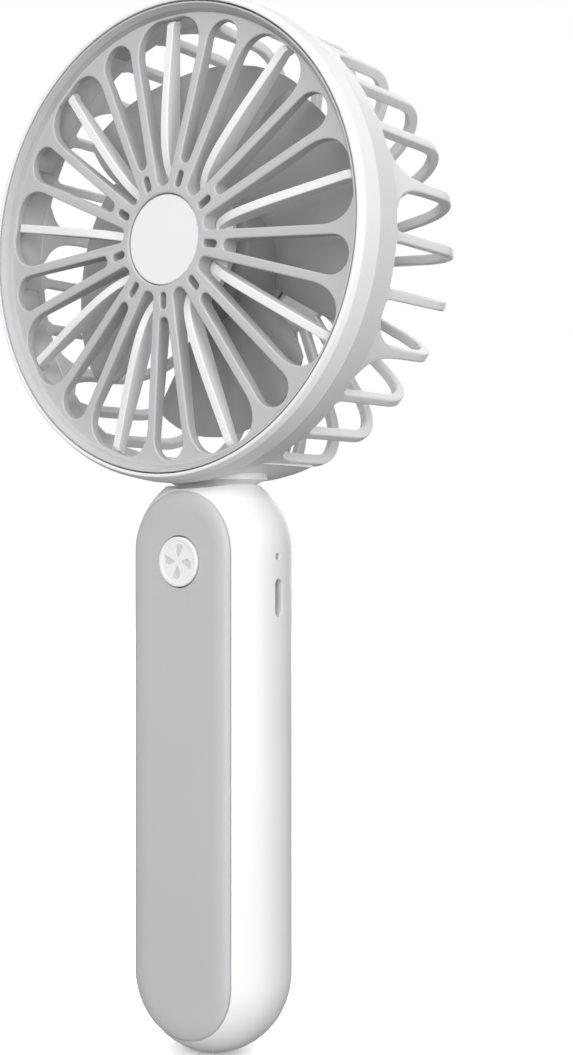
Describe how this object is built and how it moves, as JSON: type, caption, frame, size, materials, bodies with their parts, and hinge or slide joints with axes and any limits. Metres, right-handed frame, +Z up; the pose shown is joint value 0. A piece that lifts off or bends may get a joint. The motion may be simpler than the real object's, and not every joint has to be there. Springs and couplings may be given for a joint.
{
  "type": "handheld electric fan",
  "caption": "Handheld battery fan: a round head with a petal front grille and an open ribbed rear cage on a pill-shaped handle with a front button and side charging socket.",
  "frame": {"origin": "the lowest point of the handle, on the handle's long axis, where a hand or a desk socket holds it", "axes": "+Z up along the handle to the head, -Y forwards, the way the air leaves and the button faces, +X to the right seen from the back of the part looking at +Y"},
  "size_m": [0.0992, 0.0442, 0.2189],
  "materials": {
    "white_plastic": "satin moulded white",
    "grey_plastic": "satin moulded light grey",
    "blade_plastic": "satin moulded grey",
    "inner_plastic": "plain moulded",
    "black_plastic": "plain moulded black",
    "light_pipe": "frosted clear",
    "board": "green solder mask",
    "cell_sleeve": "shrink sleeve",
    "foam": "closed-cell foam",
    "lead_black": "flexible insulation",
    "lead_red": "flexible insulation",
    "steel": "plain",
    "copper": "enamelled winding wire",
    "brass": "turned"
  },
  "bodies": {
    "housing": {"rear_cage": "white_plastic", "front_grille": "grey_plastic", "fin_spider": "white_plastic", "hub_cap": "white_plastic", "rear_hub_cap": "grey_plastic", "stator_core": "steel", "winding_front": "copper", "winding_rear": "copper", "bearing_tube": "brass", "bearing_front": "brass", "bearing_rear": "brass", "motor_base": "inner_plastic", "motor_board": "board", "motor_screw_1": "steel", "motor_screw_2": "steel", "motor_screw_3": "steel", "handle_shell": "white_plastic", "front_panel": "grey_plastic", "switch_body": "steel", "main_board": "board", "charge_chip": "black_plastic", "usb_socket": "steel", "indicator_led": "inner_plastic", "light_pipe": "light_pipe", "battery_cradle": "inner_plastic", "battery_cell": "cell_sleeve", "cell_tab_lower": "steel", "cell_tab_upper": "steel", "cell_pad": "foam", "board_screw_1": "steel", "board_screw_2": "steel", "neck_screw_1": "steel", "neck_screw_2": "steel", "motor_lead_black": "lead_black", "motor_lead_red": "lead_red"},
    "rotor": {"impeller": "blade_plastic", "motor_shaft": "steel", "rotor_yoke": "steel", "magnet_ring": "black_plastic"},
    "button": {"power_button": "white_plastic", "switch_plunger": "black_plastic"}
  },
  "joints": [
    {"name": "impeller_spin", "type": "hinge", "parent": "housing", "child": "rotor", "pos_m": [0, 0, 0.1693], "axis": [0, 1, 0], "continuous": true},
    {"name": "power_button_press", "type": "slide", "parent": "housing", "child": "button", "axis": [0, 1, 0], "range_m": [0, 0.0004], "stiffness_N_per_m": 800, "springref_m": -0.0002}
  ]
}
